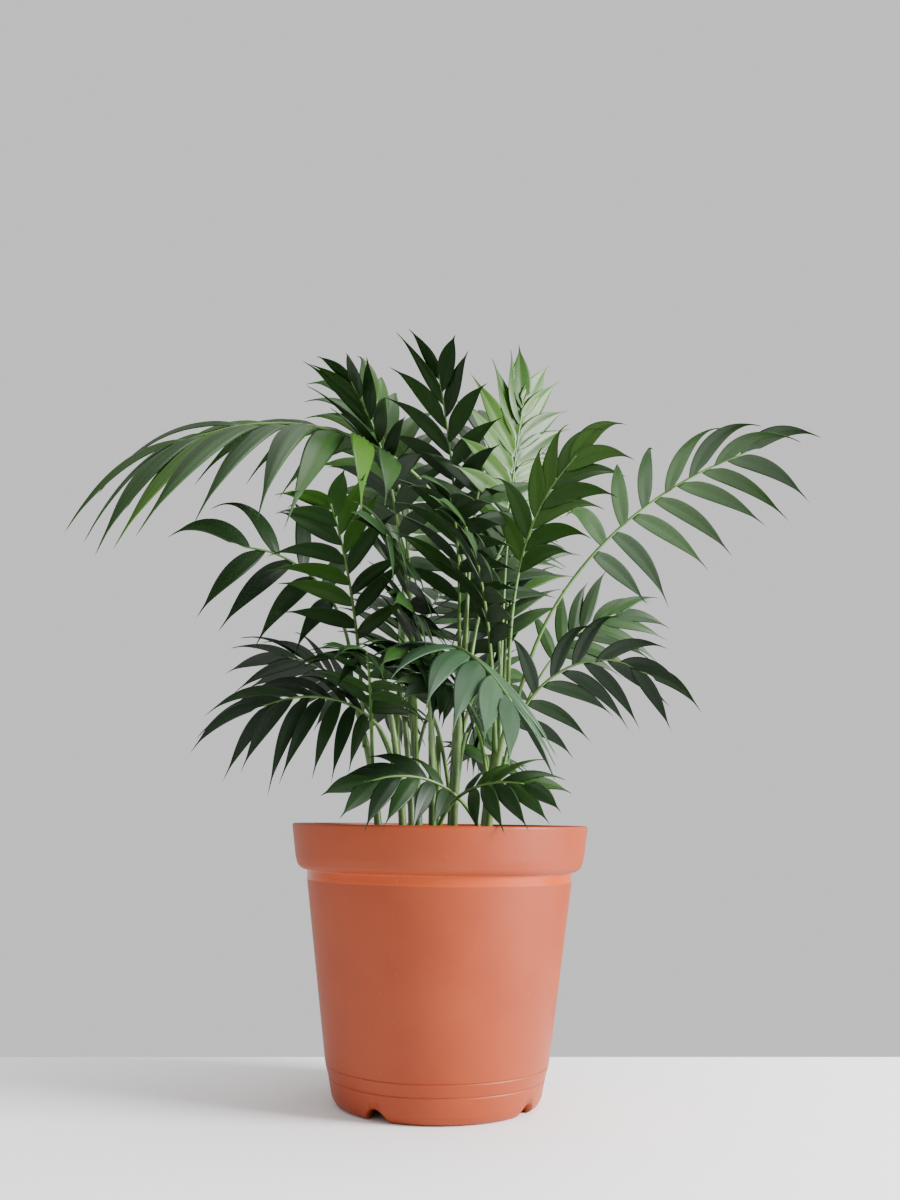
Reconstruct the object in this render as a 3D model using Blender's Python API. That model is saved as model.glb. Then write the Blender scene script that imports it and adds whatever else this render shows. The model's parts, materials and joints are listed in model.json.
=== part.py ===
"""Potted bamboo palm: clumped canes with feathery fronds in a round nursery pot.

Metres, Z up, the pot's axis on the Z axis and its foot on z = 0.  The front of
the plant looks to -Y.  Sizes in the tables are millimetres and degrees, and
headings are counted from +X (right) towards +Y (back).
"""
import math
import random

import bpy
import bmesh
import numpy as np
from mathutils.bvhtree import BVHTree

MM = 0.001
CLEAR = 0.3                 # air between neighbouring solids
SIDES = 40                  # facets round the pot

# Radius and height of the pot's wall
POT_UNDER = ((0.0, 8.4), (47.2, 8.4), (48.0, 0.0))
POT_OUTER = ((50.6, 0.0), (53.0, 1.0), (55.0, 4.2), (56.9, 13.8), (58.7, 20.4),
             (71.3, 114.2), (71.4, 118.9), (73.6, 118.9), (76.4, 121.0),
             (77.7, 125.4), (80.0, 141.9), (79.4, 142.8))
POT_INNER = ((78.5, 142.8), (76.0, 126.6), (70.4, 119.8), (69.8, 114.0),
             (57.2, 20.4), (55.2, 13.8), (53.4, 10.6), (0.0, 10.6))
NOTCH_HEADINGS = (-123, -33, 57, 147)
NOTCH_RADIUS = 6.5
SOIL_TOP = 128.0

# Canes, set out on a spiral and leaning outwards
CANES = 12
CANE_REACH = 36.0
CANE_FOOT, CANE_TIP = 2.4, 1.6
CANE_TALL, CANE_SHORT = 132.0, 62.0
CANE_LEAN = (2.0, 13.0)
GOLDEN = 137.508

RIB_FOOT, RIB_TIP = 1.25, 0.7
RIB_STEPS = 7
BLADE_STEPS = 12
RINGS_SEEN, RINGS_FILL = (0, 4, 9), (0, 5)
THICK = 0.0108              # thickness of a leaflet over its length
WELD = 0.005

# cane, height of the foot above the soil (None: the cane's tip), heading,
# first and last slope, arch exponent, change of heading, length, bare part,
# pairs of leaflets, their length and width, angle to the rib at the first and
# the last pair, lift above the frond's plane, droop, roll of the frond
FIELDS = ("cane", "height", "heading", "rise", "end", "arch", "turn", "reach", "bare", "pairs",
          "long", "wide", "spread", "close", "lift", "droop", "roll")
SEEN = {
    "left_arching": (0, None, -128, 86, -26, 0.62, -44, 231, 0.50, 8, 108, 16, 78, 36, 4, 55, -24),
    "right_arching": (5, 66, -13, 74, 18, 0.9, 1, 211, 0.52, 7, 58, 10, 80, 25, 3, 50, -44),
    "left_middle": (9, 80, -128, 88, 0, 1.0, -33, 120, 0.50, 4, 60, 11, 80, 40, 5, 51, -69),
    "front_pale": (7, None, -83, 72, -52, 0.4, 42, 103, 0.29, 6, 58, 14, 80, 40, -10, 35, -16),
    "top_bright": (5, 38, 43, 88, 78, 1.8, -3, 224, 0.68, 7, 54, 13, 64, 12, 5, 30, -99),
    "top_right": (5, 66, -20, 88, 42, 1.8, 22, 160, 0.56, 6, 48, 11, 45, 14, -1, 50, -92),
    "top_left": (1, 52, 114, 88, 64, 1.8, 60, 215, 0.68, 6, 58, 13, 50, 20, 8, 49, -51),
    "low_left": (4, 38, -141, 88, -24, 0.6, -15, 100, 0.40, 7, 55, 8, 78, 25, -1, 55, -46),
    "low_left_back": (4, 52, 150, 62, 10, 1.2, 40, 83, 0.50, 6, 48, 8, 80, 17, -9, 35, 36),
    "low_front_left": (10, 10, -135, 51, -19, 0.9, -20, 81, 0.41, 5, 34, 10, 75, 15, -2, 41, -56),
    "low_front_right": (7, 10, -51, 63, -9, 0.6, 22, 66, 0.47, 5, 34, 9, 80, 12, -1, 35, 49),
    "low_right": (5, 24, -14, 84, -38, 1.5, 0, 134, 0.35, 7, 44, 8, 68, 22, -1, 50, -70),
    "middle_right": (5, 24, 28, 83, 17, 1.8, -14, 140, 0.66, 6, 47, 8, 56, 15, -4, 37, 78),
}
SEED = 7
FILL = 34
CROWN_MIDDLE, CROWN_WIDE, CROWN_TALL = 282.0, 135.0, 122.0

# Changes tried in turn where a leaflet would meet something: angle, lift, size
TRIES = ((0, 0, 1.0), (8, 0, 1.0), (-8, 0, 1.0), (0, 14, 1.0), (0, -14, 1.0), (0, 0, 0.8),
         (12, 12, 0.8), (-12, -12, 0.8), (0, 25, 0.8), (0, 0, 0.62))

MATERIALS = {"pot": ((0.56, 0.17, 0.075), 0.45), "soil": ((0.035, 0.022, 0.014), 0.95),
             "cane": ((0.09, 0.16, 0.035), 0.5), "frond": ((0.035, 0.115, 0.022), 0.4)}


def unit(vector):
    return vector / np.linalg.norm(vector)


def compass(heading, slope):
    a, e = math.radians(heading), math.radians(slope)
    return np.array([math.cos(a) * math.cos(e), math.sin(a) * math.cos(e), math.sin(e)])


def spun(vector, axis, degrees):
    a = math.radians(degrees)
    return (vector * math.cos(a) + np.cross(axis, vector) * math.sin(a)
            + axis * np.dot(axis, vector) * (1 - math.cos(a)))


def along(points, length):
    """Point and direction at a length along a line of points."""
    steps = np.linalg.norm(np.diff(points, axis=0), axis=1)
    length = min(max(length, 0.0), steps.sum() - 1e-6)
    for index, step in enumerate(steps):
        if length <= step or index == len(steps) - 1:
            way = (points[index + 1] - points[index]) / step
            return points[index] + way * length, way
        length -= step


def cane_line(index):
    """Axis points of a cane, foot to tip."""
    share = math.sqrt((index + 0.3) / (CANES - 0.7))
    heading = GOLDEN * index + 20
    lean = CANE_LEAN[0] + (CANE_LEAN[1] - CANE_LEAN[0]) * share
    low = share * (0.6 + 0.4 * math.sin(index * 2.1) ** 2)
    tall = CANE_TALL + (CANE_SHORT - CANE_TALL) * low
    points = [compass(heading, 0) * CANE_REACH * share + np.array([0, 0, SOIL_TOP + CLEAR])]
    for step in range(4):
        slope = 90 - lean * (0.5 + 0.33 * step)
        points.append(points[-1] + compass(heading, slope) * tall / 4)
    return np.array(points)


def rib_line(start, heading, rise, end, arch, turn, reach):
    """Axis points of a frond's stalk and rib, arching from rise to end."""
    points = [start]
    for step in range(RIB_STEPS):
        share = (step + 0.5) / RIB_STEPS
        slope = rise + (end - rise) * max(0.0, (share - 0.15) / 0.85) ** arch
        points.append(points[-1] + compass(heading + turn * share, slope) * reach / RIB_STEPS)
    return np.array(points)


def frond_start(cane, height, heading):
    """Centre of a stalk's foot, clear of its cane."""
    if height is None:
        _, way = along(cane, 1e6)
        return cane[-1] + way * (CLEAR + 0.05)
    point, _ = along(cane, height)
    return point + compass(heading, 0) * (CANE_FOOT + CLEAR + RIB_FOOT)


def blade_line(base, rib_way, side, angle, lift, droop, roll, length):
    """Axis points, directions and upward normals of a leaflet, root to tip."""
    across = unit(np.cross(rib_way, (0, 0, 1)))
    above = np.cross(across, rib_way)
    across, above = spun(across, rib_way, roll), spun(above, rib_way, roll)
    lift = math.radians(lift)
    out = side * across * math.cos(lift) + above * math.sin(lift)
    normal = above * math.cos(lift) - side * across * math.sin(lift)
    angle = math.radians(angle)
    first = rib_way * math.cos(angle) + out * math.sin(angle)
    sag = math.tan(math.radians(min(droop, 80)))
    points, ways, normals = [base], [first], [normal]
    for step in range(BLADE_STEPS):
        share = (step + 0.5) / BLADE_STEPS
        way = unit(first + np.array([0, 0, -sag * share ** 1.3]) + rib_way * 0.25 * share)
        normal = unit(normal - way * np.dot(normal, way))
        points.append(points[-1] + way * length / BLADE_STEPS)
        ways.append(way)
        normals.append(normal)
    return np.array(points), np.array(ways), np.array(normals)


def blade_width(share):
    """Half width of a leaflet along its length, as a part of its full width."""
    swell = math.sin(math.pi * min(share / 0.84, 1.0) ** 0.85) if share < 0.84 else 0.0
    return 0.5 * (0.45 * (1 - share) + 0.62 * max(swell, 0.0) + 0.25 * share * (1 - share))


def blade_solid(line, rib_way, side, wide, thick, rings, grow=0.0):
    """Closed thin blade of three-sided rings with a raised middle and a pointed tip."""
    points, ways, normals = line
    verts, faces = [], []
    for index in rings:
        share = index / BLADE_STEPS
        normal = normals[index]
        across = side * rib_way if index == 0 else np.cross(normal, ways[index])
        half = wide * blade_width(share) + grow
        depth = thick * (0.5 if index == 0 else 1.0)
        low = points[index] - normal * grow
        verts += [low - across * half, low + across * half, points[index] + normal * (depth + grow)]
    verts.append(points[-1] + ways[-1] * grow)
    for ring in range(len(rings) - 1):
        for corner in range(3):
            a, b = ring * 3 + corner, ring * 3 + (corner + 1) % 3
            faces += [(a, b, b + 3), (a, b + 3, a + 3)]
    last = len(verts) - 1
    faces.append((2, 1, 0))
    for corner in range(3):
        faces.append((last - 3 + corner, last - 3 + (corner + 1) % 3, last))
    return verts, faces


def tube(points, radii, sides, level=False):
    """Closed tapering tube of flat facets; a level foot is cut flat across."""
    verts, faces = [], []
    count = len(points)
    right = None
    for index in range(count):
        way = unit(points[min(index + 1, count - 1)] - points[max(index - 1, 0)])
        if level and index == 0:
            way = np.array([0, 0, 1.0])
        if right is None:
            guide = np.array([0, 0, 1.0]) if abs(way[2]) < 0.9 else np.array([1.0, 0, 0])
            if abs(way[2]) >= 0.9 and not level:
                guide = unit(np.array([-way[0], -way[1], 1e-3]))
            right = unit(np.cross(way, guide))
        right = unit(right - way * np.dot(right, way))
        top = np.cross(right, way)
        for side in range(sides):
            a = 2 * math.pi * side / sides
            verts.append(points[index] + radii[index] * (top * math.cos(a) - right * math.sin(a)))
    for index in range(count - 1):
        for side in range(sides):
            a, b = index * sides + side, index * sides + (side + 1) % sides
            faces += [(a, a + sides, b + sides), (a, b + sides, b)]
    faces.append(tuple(range(sides)))
    faces.append(tuple(reversed(range((count - 1) * sides, count * sides))))
    return verts, faces


class Space:
    """What has been placed so far, asked whether a new piece stays clear of it."""

    def __init__(self):
        self.boxes = np.empty((0, 6))
        self.trees = []
        self.owners = []

    def add(self, owner, verts, faces):
        verts = np.array(verts)
        box = np.concatenate([verts.min(0), verts.max(0)])
        self.boxes = np.vstack([self.boxes, box])
        self.trees.append(BVHTree.FromPolygons([tuple(v) for v in verts], faces))
        self.owners.append(owner)

    def is_clear(self, owner, verts, faces):
        verts = np.array(verts)
        low, high = verts.min(0), verts.max(0)
        near = np.all((self.boxes[:, :3] <= high) & (self.boxes[:, 3:] >= low), axis=1)
        tree = None
        for index in np.nonzero(near)[0]:
            if self.owners[index] == owner:
                continue
            if tree is None:
                tree = BVHTree.FromPolygons([tuple(v) for v in verts], faces)
            if tree.overlap(self.trees[index]):
                return False
        return True


def rib_radii():
    return [RIB_FOOT + (RIB_TIP - RIB_FOOT) * step / RIB_STEPS for step in range(RIB_STEPS + 1)]


def rib_solid(line, grow=0.0):
    return tube(line, [radius + grow for radius in rib_radii()], 3)


def leaflets(name, row, line, space):
    """Leaflets of one frond that stay clear of everything placed before them."""
    total = np.linalg.norm(np.diff(line, axis=0), axis=1).sum()
    rings = RINGS_SEEN if name in SEEN else RINGS_FILL
    found = []
    for pair in range(row["pairs"]):
        for side in (1, -1):
            share = (pair + 0.25 * (side + 1)) / (row["pairs"] - 0.5)
            at = total * (row["bare"] + (0.985 - row["bare"]) * share)
            base, way = along(line, at)
            size = 0.66 + 0.34 * math.sin(math.pi * (0.12 + 0.76 * share))
            for angle_more, lift_more, scale in TRIES:
                length = row["long"] * size * scale
                angle = row["spread"] + (row["close"] - row["spread"]) * share + angle_more
                blade = blade_line(base, way, side, angle, row["lift"] + lift_more,
                                   row["droop"], row["roll"], length)
                wide, thick = row["wide"] * (0.8 + 0.2 * scale), max(THICK * length, 0.5)
                guard = blade_solid(blade, way, side, wide, thick, rings, CLEAR * 1.2)
                inside = name in SEEN or in_crown(blade[0][-1], 20.0)
                if inside and space.is_clear(name, *guard):
                    solid = blade_solid(blade, way, side, wide, thick, rings)
                    found.append((blade, way, side, wide, thick, rings, share))
                    space.add(name, *solid)
                    break
    return found


def in_crown(point, grow=0.0):
    """Whether a point lies in the rounded space that the filling fronds keep to."""
    side = math.hypot(point[0], point[1]) / (CROWN_WIDE + grow)
    return side ** 2 + ((point[2] - CROWN_MIDDLE) / (CROWN_TALL + grow)) ** 2 <= 1.0


def fill_rows(seed):
    """Rows of the fronds that fill the crown all round, cut to the crown's space."""
    rng = random.Random(seed)
    rows = []
    for index in range(FILL):
        cane, tier = index % CANES, index // CANES
        line = cane_line(cane)
        top = np.linalg.norm(np.diff(line, axis=0), axis=1).sum()
        heading = GOLDEN * index * 1.31 + 75 + rng.uniform(-20, 20)
        rise, end, reach, height, size = (
            (rng.uniform(78, 86), rng.uniform(30, 70), 170, None, 1.0),
            (rng.uniform(66, 80), rng.uniform(-10, 30), 150, top * rng.uniform(0.55, 0.8), 0.92),
            (rng.uniform(55, 72), rng.uniform(-35, 0), 120, top * rng.uniform(0.2, 0.5), 0.8),
        )[tier]
        turn, roll = rng.uniform(-18, 18), rng.choice((-55, -25, 25, 55))
        start = frond_start(line, height, heading)
        while reach > 60 and not in_crown(rib_line(start, heading, rise, end, 1.1, turn, reach)[-1]):
            reach -= 5
        rows.append((cane, height, heading, rise, end, 1.1, turn, reach, 0.42, 7,
                     56 * size, 11 * size, 60, 22, 2, 34, roll))
    return rows


def plan_plant(solids):
    """Canes and fronds in the order they claim their space."""
    space = Space()
    for verts, faces in solids:
        space.add("pot", verts, faces)
    canes = [cane_line(index) for index in range(CANES)]
    cane_solids = []
    for index, line in enumerate(canes):
        radii = [CANE_FOOT + (CANE_TIP - CANE_FOOT) * step / 4 for step in range(5)]
        solid = tube(line, radii, 6, level=True)
        cane_solids.append(solid)
        space.add(f"cane_{index + 1:02d}", *solid)
    fronds = {}
    rows = {name: dict(zip(FIELDS, row)) for name, row in SEEN.items()}
    ribs = {}
    for name, row in rows.items():
        line = place_rib(name, row, canes, space)
        if line is not None:
            ribs[name] = line
    for name, line in ribs.items():
        fronds[name] = (rows[name], line, leaflets(name, rows[name], line, space))
    for index, values in enumerate(fill_rows(SEED)):
        name, row = f"fill_{index + 1:02d}", dict(zip(FIELDS, values))
        line = place_rib(name, row, canes, space)
        if line is None:
            continue
        found = leaflets(name, row, line, space)
        fronds[name] = (row, line, found)
    return cane_solids, fronds


def place_rib(name, row, canes, space):
    """The frond's rib, turned step by step until it is clear, or nothing."""
    for more in (0, 6, -6, 12, -12, 18, -18, 26, -26, 35, -35):
        for rise_more in (0, -5, -10):
            start = frond_start(canes[row["cane"]], row["height"], row["heading"] + more)
            line = rib_line(start, row["heading"] + more, row["rise"] + rise_more, row["end"],
                            row["arch"], row["turn"], row["reach"])
            guard = rib_solid(line, CLEAR * 0.8)
            if space.is_clear(name, *guard):
                row["heading"] += more
                row["rise"] += rise_more
                space.add(name, *rib_solid(line))
                return line
    return None


def lathe(outline, sides):
    """Closed solid turned about Z from an outline that starts and ends on the axis."""
    verts, faces, rings = [], [], []
    for radius, height in outline:
        if radius == 0.0:
            rings.append([len(verts)])
            verts.append((0.0, 0.0, height))
            continue
        rings.append(list(range(len(verts), len(verts) + sides)))
        for side in range(sides):
            a = 2 * math.pi * side / sides
            verts.append((radius * math.cos(a), radius * math.sin(a), height))
    for low, high in zip(rings, rings[1:]):
        for side in range(sides):
            after = (side + 1) % sides
            if len(low) == 1:
                faces.append((low[0], high[after], high[side]))
            elif len(high) == 1:
                faces.append((low[side], low[after], high[0]))
            else:
                faces.append((low[side], low[after], high[after], high[side]))
    return verts, faces


def material(kind):
    found = bpy.data.materials.get(kind)
    if found:
        return found
    made = bpy.data.materials.new(kind)
    made.use_nodes = True
    shader = made.node_tree.nodes["Principled BSDF"]
    colour, rough = MATERIALS[kind]
    shader.inputs["Base Color"].default_value = (*colour, 1.0)
    shader.inputs["Roughness"].default_value = rough
    return made


def make_object(name, verts, faces, kind, collection=None):
    mesh = bpy.data.meshes.new(name)
    mesh.from_pydata([tuple(float(c) * MM for c in v) for v in verts], [], faces)
    mesh.materials.append(material(kind))
    mesh.update()
    made = bpy.data.objects.new(name, mesh)
    (collection or bpy.context.scene.collection).objects.link(made)
    return made


def combine(obj, collection, operation, solver):
    """Apply one Boolean with a collection, then remove the collection's objects."""
    step = obj.modifiers.new("join", "BOOLEAN")
    step.operand_type = "COLLECTION"
    step.collection = collection
    step.operation = operation
    step.solver = solver
    bpy.context.view_layer.update()
    graph = bpy.context.evaluated_depsgraph_get()
    result = bpy.data.meshes.new_from_object(obj.evaluated_get(graph))
    obj.modifiers.clear()
    old, obj.data = obj.data, result
    bpy.data.meshes.remove(old)
    for other in list(collection.objects):
        bpy.data.objects.remove(other, do_unlink=True)
    bpy.data.collections.remove(collection)


def tidy(obj):
    """Weld doubled corners and drop loose scraps."""
    shape = bmesh.new()
    shape.from_mesh(obj.data)
    bmesh.ops.remove_doubles(shape, verts=shape.verts, dist=WELD * MM)
    bmesh.ops.dissolve_degenerate(shape, edges=shape.edges, dist=WELD * MM)
    bmesh.ops.triangulate(shape, faces=shape.faces)
    shape.faces.ensure_lookup_table()
    left, parts = set(shape.faces), []
    while left:
        stack, part = [left.pop()], []
        while stack:
            face = stack.pop()
            part.append(face)
            for edge in face.edges:
                for other in edge.link_faces:
                    if other in left:
                        left.discard(other)
                        stack.append(other)
        parts.append(part)
    parts.sort(key=len)
    for part in parts[:-1]:
        bmesh.ops.delete(shape, geom=part, context="FACES")
    shape.to_mesh(obj.data)
    shape.free()
    return len(parts)


def new_collection(name):
    made = bpy.data.collections.new(name)
    bpy.context.scene.collection.children.link(made)
    return made


def build_pot():
    outline = POT_UNDER + POT_OUTER + POT_INNER
    verts, faces = lathe(outline, SIDES)
    pot = make_object("pot", verts, faces, "pot")
    cutters = new_collection("notches")
    for number, heading in enumerate(NOTCH_HEADINGS):
        inner, outer = compass(heading, 0) * 40, compass(heading, 0) * 62
        verts, faces = tube([inner, outer], [NOTCH_RADIUS] * 2, 16)
        make_object(f"notch_{number}", verts, faces, "pot", cutters)
    combine(pot, cutters, "DIFFERENCE", "EXACT")
    return pot


def soil_outline():
    wall = [(radius - CLEAR, height + CLEAR * 0.3) for radius, height in reversed(POT_INNER[2:-1])]
    wall[0] = (POT_INNER[-2][0] - CLEAR, POT_INNER[-1][1] + CLEAR)
    top = POT_INNER[1]
    rise = (SOIL_TOP - top[1]) / (POT_INNER[0][1] - top[1])
    edge = top[0] + (POT_INNER[0][0] - top[0]) * rise
    wall += [(top[0] - CLEAR, top[1] + CLEAR * 0.3), (edge - CLEAR, SOIL_TOP)]
    return [(0.0, POT_INNER[-1][1] + CLEAR)] + wall + [(0.0, SOIL_TOP)]


def build_frond(name, line, found):
    verts, faces = rib_solid(line)
    frond = make_object(name, verts, faces, "frond")
    parts = new_collection(name + "_leaflets")
    for number, leaflet in enumerate(found):
        verts, faces = blade_solid(*leaflet[:6])
        make_object(f"{name}_{number}", verts, faces, "frond", parts)
    combine(frond, parts, "UNION", "MANIFOLD")
    return tidy(frond)


def main():
    for obj in list(bpy.data.objects):
        bpy.data.objects.remove(obj, do_unlink=True)
    build_pot()
    soil = lathe(soil_outline(), SIDES)
    make_object("soil", *soil, "soil")
    walls = lathe(POT_UNDER + POT_OUTER + POT_INNER, SIDES)
    canes, fronds = plan_plant([walls, soil])
    for index, (verts, faces) in enumerate(canes):
        make_object(f"cane_{index + 1:02d}", verts, faces, "cane")
    count = 0
    for name, (_, line, found) in fronds.items():
        pieces = build_frond("frond_" + name, line, found)
        count += len(found)
        print(name, len(found), "leaflets,", pieces, "piece(s)")
    triangles = sum(len(p.vertices) - 2 for o in bpy.data.objects for p in o.data.polygons)
    print(len(bpy.data.objects), "objects,", count, "leaflets,", triangles, "triangles")


if __name__ == "__main__":
    main()
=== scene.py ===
"""Looks of the potted bamboo palm: finer canes, fronds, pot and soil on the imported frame.

The canes and fronds follow the source's rule with the same sizes and seed, in
millimetres and degrees, so each finer frond lies where its solid is. Leaflets that
the solids leave out, because they would touch a neighbour, are drawn here too.
"""
import json
import math
import random

import bpy
import numpy as np
from mathutils import Matrix, Vector
from mathutils.bvhtree import BVHTree

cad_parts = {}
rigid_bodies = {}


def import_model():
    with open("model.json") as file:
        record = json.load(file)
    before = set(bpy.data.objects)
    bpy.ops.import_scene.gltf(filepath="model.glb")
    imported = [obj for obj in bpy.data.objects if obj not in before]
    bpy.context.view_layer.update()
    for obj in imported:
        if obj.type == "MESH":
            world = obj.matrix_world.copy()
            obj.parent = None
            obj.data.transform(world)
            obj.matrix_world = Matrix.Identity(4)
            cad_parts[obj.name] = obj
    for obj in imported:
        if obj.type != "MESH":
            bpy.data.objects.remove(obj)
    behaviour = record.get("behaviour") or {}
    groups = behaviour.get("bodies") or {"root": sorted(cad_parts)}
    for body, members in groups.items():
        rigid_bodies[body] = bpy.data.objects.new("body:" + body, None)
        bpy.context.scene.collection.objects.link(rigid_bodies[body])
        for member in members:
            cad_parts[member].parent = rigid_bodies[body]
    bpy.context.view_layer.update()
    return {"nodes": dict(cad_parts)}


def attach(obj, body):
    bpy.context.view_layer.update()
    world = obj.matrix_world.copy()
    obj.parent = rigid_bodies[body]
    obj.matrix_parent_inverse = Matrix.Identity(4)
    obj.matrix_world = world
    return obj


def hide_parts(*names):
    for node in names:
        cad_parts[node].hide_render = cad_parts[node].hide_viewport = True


MM = 0.001
CLEAR = 0.3                 # air between neighbouring solids
SIDES = 40                  # facets round the pot

# Radius and height of the pot's wall
POT_UNDER = ((0.0, 8.4), (47.2, 8.4), (48.0, 0.0))
POT_OUTER = ((50.6, 0.0), (53.0, 1.0), (55.0, 4.2), (56.9, 13.8), (58.7, 20.4),
             (71.3, 114.2), (71.4, 118.9), (73.6, 118.9), (76.4, 121.0),
             (77.7, 125.4), (80.0, 141.9), (79.4, 142.8))
POT_INNER = ((78.5, 142.8), (76.0, 126.6), (70.4, 119.8), (69.8, 114.0),
             (57.2, 20.4), (55.2, 13.8), (53.4, 10.6), (0.0, 10.6))
NOTCH_HEADINGS = (-123, -33, 57, 147)
NOTCH_RADIUS = 6.5
SOIL_TOP = 128.0

# Canes, set out on a spiral and leaning outwards
CANES = 12
CANE_REACH = 36.0
CANE_FOOT, CANE_TIP = 2.4, 1.6
CANE_TALL, CANE_SHORT = 132.0, 62.0
CANE_LEAN = (2.0, 13.0)
CANE_HEADING = 20           # heading of the first cane
CANE_STEPS = 4
CANE_FACETS = 6
GOLDEN = 137.508            # turn from one cane, or filling frond, to the next

# Ribs and leaflets as solids, which settle where each finer one finds room
RIB_FOOT, RIB_TIP = 1.25, 0.7
RIB_STEPS, RIB_FACETS = 7, 3
RIB_STRAIGHT = 0.15         # share of a rib that keeps its first slope
RIB_FULL = 0.985            # share of a rib where its last leaflets stand
RIB_TURNS = (0, 6, -6, 12, -12, 18, -18, 26, -26, 35, -35)
RIB_DROPS = (0, -5, -10)
BLADE_STEPS = 12
BLADE_SWELL = 0.84          # share of a leaflet where its swell ends
STEEPEST = 80               # most droop of a leaflet
RINGS_SEEN, RINGS_FILL = (0, 4, 9), (0, 5)
THICK, THICK_LEAST = 0.0108, 0.5    # thickness of a leaflet over its length, and at least
RIB_GUARD, BLADE_GUARD = CLEAR * 0.8, CLEAR * 1.2

# cane, height of the foot above the soil (None: the cane's tip), heading,
# first and last slope, arch exponent, change of heading, length, bare part,
# pairs of leaflets, their length and width, angle to the rib at the first and
# the last pair, lift above the frond's plane, droop, roll of the frond
FIELDS = ("cane", "height", "heading", "rise", "end", "arch", "turn", "reach", "bare", "pairs",
          "long", "wide", "spread", "close", "lift", "droop", "roll")
SEEN = {
    "left_arching": (0, None, -128, 86, -26, 0.62, -44, 231, 0.50, 8, 108, 16, 78, 36, 4, 55, -24),
    "right_arching": (5, 66, -13, 74, 18, 0.9, 1, 211, 0.52, 7, 58, 10, 80, 25, 3, 50, -44),
    "left_middle": (9, 80, -128, 88, 0, 1.0, -33, 120, 0.50, 4, 60, 11, 80, 40, 5, 51, -69),
    "front_pale": (7, None, -83, 72, -52, 0.4, 42, 103, 0.29, 6, 58, 14, 80, 40, -10, 35, -16),
    "top_bright": (5, 38, 43, 88, 78, 1.8, -3, 224, 0.68, 7, 54, 13, 64, 12, 5, 30, -99),
    "top_right": (5, 66, -20, 88, 42, 1.8, 22, 160, 0.56, 6, 48, 11, 45, 14, -1, 50, -92),
    "top_left": (1, 52, 114, 88, 64, 1.8, 60, 215, 0.68, 6, 58, 13, 50, 20, 8, 49, -51),
    "low_left": (4, 38, -141, 88, -24, 0.6, -15, 100, 0.40, 7, 55, 8, 78, 25, -1, 55, -46),
    "low_left_back": (4, 52, 150, 62, 10, 1.2, 40, 83, 0.50, 6, 48, 8, 80, 17, -9, 35, 36),
    "low_front_left": (10, 10, -135, 51, -19, 0.9, -20, 81, 0.41, 5, 34, 10, 75, 15, -2, 41, -56),
    "low_front_right": (7, 10, -51, 63, -9, 0.6, 22, 66, 0.47, 5, 34, 9, 80, 12, -1, 35, 49),
    "low_right": (5, 24, -14, 84, -38, 1.5, 0, 134, 0.35, 7, 44, 8, 68, 22, -1, 50, -70),
    "middle_right": (5, 24, 28, 83, 17, 1.8, -14, 140, 0.66, 6, 47, 8, 56, 15, -4, 37, 78),
}
SEED = 7
FILL = 34
CROWN_MIDDLE, CROWN_WIDE, CROWN_TALL = 282.0, 135.0, 122.0
CROWN_EDGE = 20.0           # how far the tip of a leaflet may stand out of the crown

# Changes tried in turn where a leaflet would meet something: angle, lift, size
TRIES = ((0, 0, 1.0), (8, 0, 1.0), (-8, 0, 1.0), (0, 14, 1.0), (0, -14, 1.0), (0, 0, 0.8),
         (12, 12, 0.8), (-12, -12, 0.8), (0, 25, 0.8), (0, 0, 0.62))

# Finer leaflets: sag and sway over the length, twist in degrees
BLADE_COLUMNS, BLADE_ROWS = 10, 22
SAG_MOST, SWAY_MOST, TWIST_MOST = 0.16, 0.08, 32.0
CROWDED = 0.93              # size of a leaflet that touches a neighbour
CROWDED_DROOP = 6
LEAF_SHEET = 0.36           # thickness of a leaflet at its middle
EDGE_THINNING = 0.45
FOLD, PLEAT = 0.075, 0.022  # rise of the midrib and of the veins over the width
PLEATS = 5
CLASP, UNFOLD = 0.2, 0.12   # shares over which a root leaves the rib, and its folds rise
LEAF_SEED = 23

# Finer ribs and canes
RIB_SIDES, RIB_ROWS = 8, 30
RIB_THIN = 0.7              # finer rib's tip over the solid's
RIB_CLASP, RIB_CLASP_SHORT = 0.12, 40
CANE_SIDES, CANE_ROWS = 14, 60
CANE_ROW = 1.2              # length between two rings of a cane
CANE_JOINT = 17.0           # length between two leaf scars
SCAR_RISE, SCAR_SHARP = 0.22, 18
CANE_INSET = 0.12

# Finer pot: rounding of its corners, the two seams, the glossy band under the collar
POT_SIDES = 192
POT_ROUNDING = 1.3
SEAM_HEIGHTS = (13.8, 20.4)
SEAM_HALF, SEAM_DEEP, SEAM_LIP = 0.5, 0.45, 0.1
BAND_LOW, BAND_HIGH, BAND_RADIUS = 113.4, 119.2, 70.9
NOTCH_REACH, NOTCH_SIDES = (40, 62), 32

# Finer soil: a crumbly sheet over a sunk body
SOIL_RINGS, SOIL_RADIALS = 26, 96
SOIL_SEED = 11
SOIL_SUNK, SOIL_LEVEL, SOIL_MOST = 3.0, 0.9, 0.1    # depths under the top: body, mean, peaks
SOIL_INSET = 0.4
CRUMB_SHIFT, CRUMB_TURN = 0.6, 0.03
CRUMB_DEEP, CRUMB_HIGH = -0.9, 0.7
SOIL_WAVE, SOIL_RIPPLE = 0.5, 0.31

# Camera and the far edge of the floor; FLOOR_ values are pixels of the photograph
FOCAL_PIXELS, PHOTO_WIDE, PHOTO_HIGH = 1200.0, 900.0, 1200.0
CAMERA_PLACE = (3.77, -665.6, 147.44)
CAMERA_PITCH, CAMERA_ROLL = 10.2, 0.73
CAMERA_LENS = 36.0          # focal length, and the sensor's long side
FLOOR_LINE = 1057.0
FLOOR_LEFT, FLOOR_RIGHT = -260, 1160

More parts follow.
